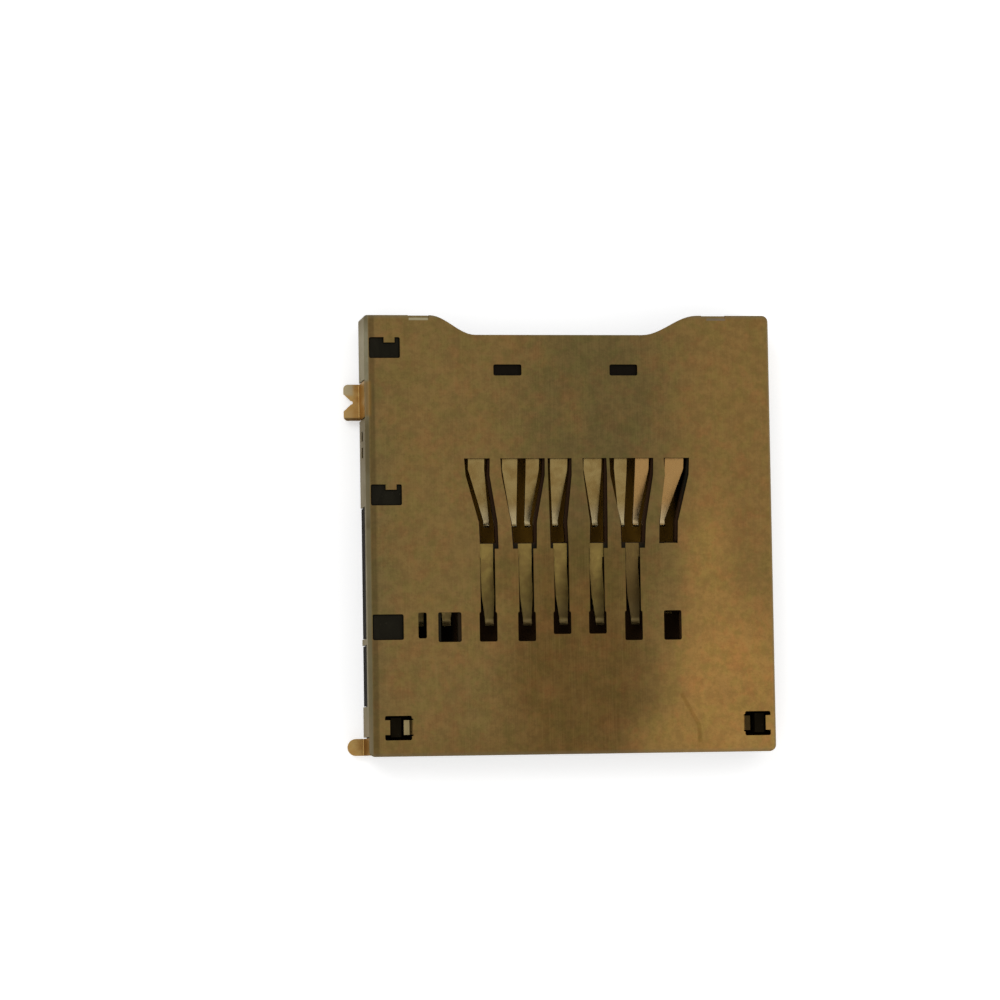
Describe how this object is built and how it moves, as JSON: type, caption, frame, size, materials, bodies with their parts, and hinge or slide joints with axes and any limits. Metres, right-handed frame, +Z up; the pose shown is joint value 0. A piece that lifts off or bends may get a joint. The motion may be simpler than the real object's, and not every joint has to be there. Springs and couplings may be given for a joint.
{
  "type": "sd card socket",
  "caption": "Push-in, push-out socket for a full-size memory card, with a stamped shell, two rows of contacts, a spring-loaded slider with a heart cam, and card switches.",
  "frame": {"origin": "centre of the shell in X and Y, on the plane of the circuit board under the base", "axes": "+X to the side of the eject slider, +Y out of the mouth that the card goes in by, +Z up from the board"},
  "size_m": [0.0288, 0.029, 0.0039],
  "materials": {
    "shell": "stamped sheet, mottled olive bronze tone, light scratches",
    "housing": "black moulded",
    "block": "black moulded",
    "contact": "gold plated spring strip",
    "slider": "black moulded",
    "spring_wire": "bright wire",
    "pin_wire": "bright wire",
    "leaf": "bright strip",
    "switch": "gold plated strip, orange in the corners"
  },
  "bodies": {
    "socket": {"shell": "shell", "base_housing": "housing", "contact_block": "block", "contact_1": "contact", "contact_2": "contact", "contact_3": "contact", "contact_4": "contact", "contact_5": "contact", "contact_6": "contact", "contact_7": "contact", "contact_8": "contact", "contact_9": "contact", "contact_10": "contact", "contact_11": "contact", "contact_12": "contact", "contact_13": "contact", "contact_14": "contact", "contact_15": "contact", "contact_16": "contact", "contact_17": "contact", "eject_spring": "spring_wire", "write_protect_leaf": "switch", "write_protect_contact": "switch", "card_detect_leaf": "switch", "card_detect_contact": "switch", "solder_tab_front_right": "switch", "solder_tab_rear_right": "switch"},
    "slider": {"slider": "slider", "card_lock_spring": "leaf"},
    "cam_pin": {"cam_pin": "pin_wire"}
  },
  "joints": [
    {"name": "slider_travel", "type": "slide", "parent": "socket", "child": "slider", "axis": [0, -1, 0], "range_m": [0, 0.006], "stiffness_N_per_m": 300, "springref_m": -0.002, "deforming": ["eject_spring"]},
    {"name": "cam_pin_swing", "type": "hinge", "parent": "socket", "child": "cam_pin", "pos_m": [0.0125, 0.012, 0.0028], "axis": [0, 0, 1], "range_deg": [0, 2.76]}
  ],
  "couplings": [
    {"joint": "cam_pin_swing", "follows": "slider_travel", "rad_per_m": 8}
  ]
}
